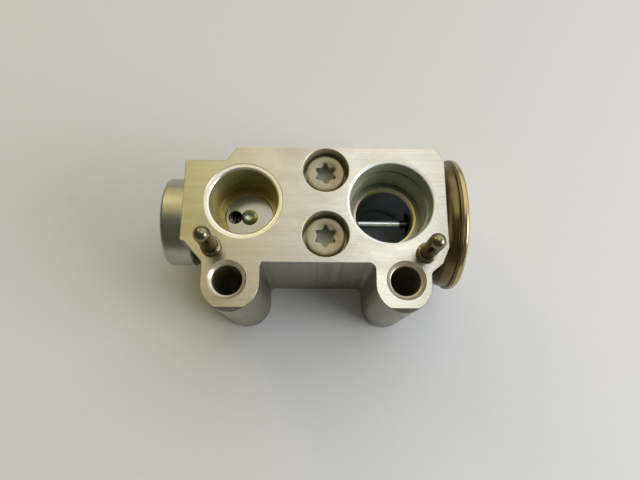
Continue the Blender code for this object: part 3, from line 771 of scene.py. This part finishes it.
# ---- spring end ----
def end_cap():
    """The hollow cap over the spring end, with the groove for its O-ring."""
    shoulder, end = CAP_HIGH.x, CAP_LOW.x
    face = BLOCK_LOW.x - 0.1
    groove, groove_end = CAP_GROOVE_X
    profile = [(4.5, shoulder), (CAP_PLUG_R - 0.4, shoulder), (CAP_PLUG_R, shoulder - 0.4),
               (CAP_PLUG_R, groove), (CAP_GROOVE_R, groove), (CAP_GROOVE_R, groove_end),
               (CAP_PLUG_R, groove_end), (CAP_PLUG_R, face), (CAP_R - 0.25, face),
               (CAP_R, face - 0.25)]
    profile += arc(0.8, 0, -90, 10, (CAP_R - 0.8, end + 0.8))
    profile += [(1.2, end), (0.9, end + 0.25), (0, end + 0.3), (0, end + 2.2), (4.5, end + 2.2)]
    cap = turned("cap", profile, on_axis(), ring=True)
    finish = turned_metal("turned_aluminium", (0.38, 0.38, 0.32), (0.48, 0.48, 0.42), (0.28, 0.40),
                          blotch=(0.33, 0.34, 0.27))
    settle(cap, finish, ["end_cap"])


# ---- push rod ----
def push_rod(steel):
    """The rod, with its thin tip towards the ball."""
    start, end = ROD_LOW.x, ROD_HIGH.x
    profile = [(0, end), (ROD_R - 0.15, end), (ROD_R, end - 0.15), (ROD_R, ROD_SHOULDER_X),
               (ROD_TIP_R, ROD_SHOULDER_X - 0.7), (ROD_TIP_R, start), (0, start)]
    rod = turned("rod", profile, on_axis(), SMALL)
    settle(rod, steel, ["push_rod"], STEM)


# ---- bias spring ----
def coil_mesh(name, points, wire_r):
    """A round wire along points in mm, as a closed mesh."""
    curve = bpy.data.curves.new(name, "CURVE")
    curve.dimensions = "3D"
    curve.bevel_depth = wire_r * MM
    curve.bevel_resolution = 3
    curve.use_fill_caps = True
    spline = curve.splines.new("POLY")
    spline.points.add(len(points) - 1)
    for point, place in zip(spline.points, points):
        point.co = (*(place * MM), 1.0)
    guide = add_object(name + "_guide", curve)
    bpy.context.view_layer.update()
    graph = bpy.context.evaluated_depsgraph_get()
    mesh = bpy.data.meshes.new_from_object(guide.evaluated_get(graph))
    bpy.data.objects.remove(guide, do_unlink=True)
    cage = bmesh.new()
    cage.from_mesh(mesh)
    bmesh.ops.remove_doubles(cage, verts=cage.verts, dist=1e-7)
    bmesh.ops.recalc_face_normals(cage, faces=cage.faces)
    cage.to_mesh(mesh)
    cage.free()
    return mesh


def bias_spring(finish):
    """The coil in two halves that meet in the middle."""
    low, high = span("bias_spring")
    per_turn = 32
    coil_r = (high.y - low.y) / 2 - SPRING_WIRE_R
    steps = round(SPRING_TURNS * per_turn)
    points = []
    for index in range(steps + 1):
        angle = math.tau * index / per_turn
        x = low.x + SPRING_WIRE_R + (high.x - low.x - 2 * SPRING_WIRE_R) * index / steps
        points.append(Vector((x, coil_r * math.cos(angle), AXIS_Z + coil_r * math.sin(angle))))
    half = steps // 2
    ends = (
        ("seat", points[:half + 1], "spring_carrier", low.x),
        ("holder", points[half:], STEM, high.x),
    )
    for name, path, body, end_x in ends:
        mesh = coil_mesh(f"spring_{name}_half", path, SPRING_WIRE_R)
        coil = add_object(f"spring_{name}_half", mesh)
        mesh.materials.append(finish)
        mesh.shade_smooth()
        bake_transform(coil)
        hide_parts("bias_spring")


# ---- power head ----
def head_lower_housing(finish):
    """The pressed shell next to the block, with its neck."""
    under, neck_end = BLOCK_HIGH.x + 0.3, HOUSING_LOW.x
    rim = HOUSING_HIGH.x
    seam = rim + 0.42
    outer = [(HEAD_R - 0.35, seam), (HEAD_R - 0.35, rim - 0.1), (HEAD_R - 0.15, rim - 0.1)]
    outer += arc(0.2, 0, -90, 4, (HEAD_R - 0.3, rim - 0.4))
    outer += arc(0.3, 90, 180, 4, (SHELL_R + 0.3, rim - 0.9))
    outer += arc(SHELL_CORNER_R, 0, -90, 20, (SHELL_R - SHELL_CORNER_R, under + SHELL_CORNER_R))
    outer += [(NECK_R, under), (NECK_R, neck_end)]
    inner = [(3.1, neck_end), (3.1, under + 0.9), (12.8, under + 0.9), (13.8, under + 1.4),
             (14.3, under + 2.4), (14.3, rim)]
    shell = turned("lower_shell", outer + inner, on_axis(), ring=True)
    settle(shell, finish, ["head_lower_housing"])


def head_upper_cover(finish):
    """The cover, whose bright rim reaches over the seam."""
    back, front = COVER_LOW.x, COVER_FRONT_X
    outer = [(CHARGE_HOLE_R, 33.6), (5.0, 33.5), (9.0, 32.9), (11.5, 32.3), (13.0, 31.75),
             (13.6, front)]
    outer += arc(COVER_CORNER_R, 90, 0, 16, (HEAD_R - COVER_CORNER_R, front - COVER_CORNER_R))
    outer += [(HEAD_R, back - 0.42), (HEAD_R - 0.1, back - 0.52), (HEAD_R - 0.3, back - 0.52)]
    outer += [(HEAD_R - 0.3, back)]
    inner = [(13.4, back), (11.3, 31.5), (9.0, 32.1), (5.0, 32.7), (CHARGE_HOLE_R, 32.8)]
    cover = turned("upper_cover", outer + inner, on_axis(), ring=True)
    settle(cover, finish, ["head_upper_cover"])


def charge_plug(finish):
    """The plug that closes the filling hole."""
    tip = span("charge_plug")[1].x
    profile = [(0, tip), (0.7, tip), (0.95, tip - 0.08), (1.5, tip - 0.4), (2.1, tip - 1.0)]
    profile += [(2.2, tip - 1.12), (1.1, tip - 1.18), (1.1, 32.9), (0, 32.9)]
    plug = turned("plug", profile, on_axis(), SMALL)
    settle(plug, finish, ["charge_plug"])


# ---- screws and pins ----
def star_cutter(top, y, degrees):
    """A six-lobed socket with a countersunk mouth and a drilled floor."""
    steps = 96
    floor_z = top - SOCKET_DEPTH
    cage = bmesh.new()
    ring = []
    for index in range(steps):
        angle = math.tau * index / steps
        lobe = ((1 + math.cos(6 * angle)) / 2) ** 1.4
        radius = (STAR_ROOT_R + (STAR_TIP_R - STAR_ROOT_R) * lobe) * MM
        ring.append(cage.verts.new((radius * math.cos(angle), radius * math.sin(angle), 0)))
    face = cage.faces.new(ring)
    grown = bmesh.ops.extrude_face_region(cage, geom=[face])
    lifted = [v for v in grown["geom"] if isinstance(v, bmesh.types.BMVert)]
    bmesh.ops.translate(cage, vec=(0, 0, 4 * MM), verts=lifted)
    bmesh.ops.recalc_face_normals(cage, faces=cage.faces)
    mesh = bpy.data.meshes.new("cut_star")
    cage.to_mesh(mesh)
    cage.free()
    star = add_object("cut_star", mesh)
    star.matrix_world = upright(0, y, floor_z) @ Matrix.Rotation(math.radians(degrees), 4, "Z")
    apply_modifiers(star)
    countersink = [(0, 1), (3.7, 1), (2.7, 0), (2.0, -SOCKET_MOUTH_DEPTH), (0, -SOCKET_MOUTH_DEPTH)]
    drilling = [(0, 0.3), (1.55, 0.3), (1.55, -0.2), (0, -0.8)]
    mouth = turned("cut_mouth", countersink, upright(0, y, top), SMALL)
    drilled = turned("cut_floor", drilling, upright(0, y, floor_z), SMALL)
    return [star, mouth, drilled]


def mounting_screws(finish, socket_shade_coat):
    """Both cap screws. The inside of each socket gets a greener copy of the coating as painted
    shade.
    """
    top, tip = SCREW_HIGH.z, SCREW_LOW.z
    head_r = (SCREW_HIGH.x - SCREW_LOW.x) / 2
    under = top - SCREW_HEAD_HEIGHT
    profile = [(0, top), (head_r - 0.62, top)] + arc(0.5, 80, 0, 6, (head_r - 0.5, top - 0.5))
    profile += [(head_r, under + 0.1), (head_r - 0.1, under), (SCREW_SHANK_R, under),
                (SCREW_SHANK_R, tip + 0.6), (SCREW_SHANK_R - 0.6, tip), (0, tip)]
    for node, y in (("mounting_screw_upper", SCREW_Y), ("mounting_screw_lower", -SCREW_Y)):
        screw = turned(node.replace("mounting_", ""), profile, upright(0, y), ROUND)
        cut(screw, star_cutter(top, y, STAR_TURN[node]))
        screw.data.materials.clear()
        screw.data.materials.append(finish)
        screw.data.materials.append(socket_shade_coat)
        # Faces deep in a socket get the greener copy of the coating: painted shade
        for face in screw.data.polygons:
            centre = face.center / MM
            in_socket = math.hypot(centre.x, centre.y - y) < STAR_TIP_R + 0.02
            below_mouth = under + 0.9 < centre.z < top - 0.3
            face.material_index = int(in_socket and below_mouth)
        settle(screw, None, [node])


def locating_pins(steel):
    """Both pins, with a round tip, a low collar and a shank in the block."""
    tip, bottom = PIN_HIGH.z, PIN_LOW.z
    collar_r = (PIN_HIGH.x - PIN_LOW.x) / 2
    face, collar_top = TOP + 0.1, TOP + COLLAR_HEIGHT
    profile = arc(PIN_R, 90, 0, 20, (0, tip - PIN_R))
    profile += arc(0.12, 180, 270, 4, (PIN_R + 0.12, collar_top + 0.12))
    profile += arc(COLLAR_CORNER_R, 90, 0, 8,
                   (collar_r - COLLAR_CORNER_R, collar_top - COLLAR_CORNER_R))
    profile += [(collar_r, face + 0.1), (collar_r - 0.1, face), (PIN_R, face),
                (PIN_R, bottom + 0.3), (PIN_R - 0.3, bottom), (0, bottom)]
    for side in ("left", "right"):
        place = middle(f"locating_pin_{side}")
        pin = turned(f"pin_{side}", profile, upright(place.x, place.y), SMALL)
        settle(pin, steel, [f"locating_pin_{side}"])


# ---- carried-over CAD nodes ----
def inner_nodes(stainless, spring_steel):
    """The pieces inside keep their CAD shape and get a finish of their own."""
    brass = turned_metal("brass", (0.60, 0.44, 0.18), (0.76, 0.58, 0.28), (0.24, 0.36))
    green = rubber()
    finishes = {
        "spring_seat": stainless, "ball_holder": stainless, "valve_ball": stainless,
        "rod_seal_retainer": stainless, "diaphragm": stainless, "diaphragm_stopper": stainless,
        "friction_ring": spring_steel, "adjusting_screw": brass,
        "end_cap_o_ring": green, "rod_o_ring": green, "head_o_ring": green,
    }
    for node, finish in finishes.items():
        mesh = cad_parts[node].data
        mesh.materials.clear()
        mesh.materials.append(finish)


# ---- stage, light and camera ----
def floor():
    """The pale paper that the part stands on."""
    mesh = bpy.data.meshes.new("floor")
    cage = bmesh.new()
    bmesh.ops.create_grid(cage, x_segments=1, y_segments=1, size=2.0)
    cage.to_mesh(mesh)
    cage.free()
    ground = add_object("floor", mesh)
    ground.location.z = -0.05 * MM
    made, tree, shader = new_material("floor_paper", metallic=0.0)
    grain = noise(tree, coords(tree, (0.5, 0.5, 0.5)), 1.0, 3.0)
    color = blend_colors(tree, grain, rgb(0.72, 0.74, 0.79), rgb(0.75, 0.77, 0.82))
    wire(tree, shader, color)
    shader.inputs["Roughness"].default_value = 0.9
    mesh.materials.append(made)


def area_light(name, place_mm, size_mm, radiance, color):
    """A round lamp aimed at the part, with the power that gives it the stated radiance."""
    data = bpy.data.lights.new(name, "AREA")
    data.shape = "DISK"
    data.size = size_mm * MM
    data.energy = radiance * (math.pi * data.size / 2) ** 2
    data.color = color
    lamp = bpy.data.objects.new(name, data)
    bpy.context.scene.collection.objects.link(lamp)
    place, target = Vector(place_mm) * MM, Vector(LAMP_TARGET) * MM
    lamp.location = place
    lamp.rotation_euler = (target - place).to_track_quat("-Z", "Y").to_euler()


def studio_world():
    """A dim room with a wall of light behind the part, warm on the left and white on the right."""
    world = bpy.data.worlds.new("studio")
    bpy.context.scene.world = world
    world.use_nodes = True
    tree = world.node_tree
    direction = add(tree, "SeparateXYZ", {0: add(tree, "TexCoord").outputs["Generated"]})

    def soft_step(axis, start, end):
        inputs = {0: direction.outputs[axis], 1: start, 2: end}
        return add(tree, "MapRange", inputs, interpolation_type="SMOOTHSTEP").outputs[0]

    wall = blend_colors(tree, soft_step(0, -0.41, 0.09), rgb(0.80, 0.63, 0.07),
                        rgb(1.36, 1.36, 1.32))
    lit = calc(tree, "MULTIPLY", soft_step(1, -0.15, 0.40), soft_step(0, -0.80, -0.42))
    lit = calc(tree, "MULTIPLY", lit, soft_step(2, 0.0, 0.22))
    color = blend_colors(tree, lit, rgb(0.13, 0.13, 0.10), wall)
    tree.links.new(color, tree.nodes["Background"].inputs["Color"])


def lights():
    studio_world()
    for name, settings in LAMPS.items():
        area_light(name, *settings)


def camera():
    """The camera, at the photo's view."""
    data = bpy.data.cameras.new("camera")
    data.lens = CAMERA_LENS
    data.sensor_width = SENSOR_WIDTH
    data.clip_start = 0.005
    data.clip_end = 20.0
    obj = bpy.data.objects.new("camera", data)
    bpy.context.scene.collection.objects.link(obj)
    turn = Vector([math.radians(v) for v in CAMERA_TURN])
    place = Matrix.Translation(Vector(CAMERA_PLACE) * MM)
    obj.matrix_world = place @ Matrix.Rotation(turn.length, 4, turn.normalized())
    bpy.context.scene.camera = obj


bpy.context.scene.view_settings.view_transform = "Standard"
camera()
lights()
floor()
# Painted reflection: the pins' steel is darkened and tinted golden, for dark, warm surroundings
# seen in it
pin_steel_painted_dark_reflection = ground_steel("pin_steel_painted_dark_reflection", (0.18, 0.165, 0.10), (0.28, 0.255, 0.16), (0.24, 0.18, 0.08),
                         (0.18, 0.25), rgb(0.52, 0.50, 0.44))
# Painted highlight: the rod's steel is bluish near white; its end in the bore gets painted shade
rod_steel_painted_light_and_shade = ground_steel("rod_steel_painted_light_and_shade", (0.88, 0.93, 1.0), (0.96, 0.99, 1.0), (0.80, 0.84, 0.90),
                         (0.25, 0.34), rgb(1.0, 1.0, 1.0), shade_from=ROD_SHADE_FROM_X)
stainless = turned_metal("stainless", (0.52, 0.51, 0.48), (0.66, 0.65, 0.61))
spring_steel = turned_metal("spring_steel", (0.10, 0.095, 0.085), (0.17, 0.16, 0.14), (0.28, 0.40))
yellow = turned_metal("yellow_steel", (0.40, 0.31, 0.13), (0.54, 0.43, 0.21), (0.18, 0.28),
                      per_mm=2.0, depth=0.01, blotch=(0.50, 0.44, 0.28))
# Painted shade: the lower shell gets a darker brown copy of the head's yellow steel
shaded_head_steel = turned_metal("head_steel_painted_shade", (0.13, 0.098, 0.043), (0.20, 0.152, 0.072), (0.24, 0.36),
                     per_mm=2.0, depth=0.01, blotch=(0.11, 0.088, 0.045))
valve_body()
end_cap()
push_rod(rod_steel_painted_light_and_shade)
head_lower_housing(shaded_head_steel)
head_upper_cover(yellow)
charge_plug(stainless)
mounting_screws(
    zinc_flake("zinc_flake", (0.30, 0.28, 0.19), (0.50, 0.46, 0.33), (0.33, 0.30, 0.25)),
    # Greener copy of the coating for the socket insides: painted shade
    zinc_flake("socket_zinc_flake_painted_shade", (0.30, 0.32, 0.25), (0.46, 0.47, 0.37), (0.32, 0.33, 0.25),
               0.4))
locating_pins(pin_steel_painted_dark_reflection)
bias_spring(spring_steel)
inner_nodes(stainless, spring_steel)
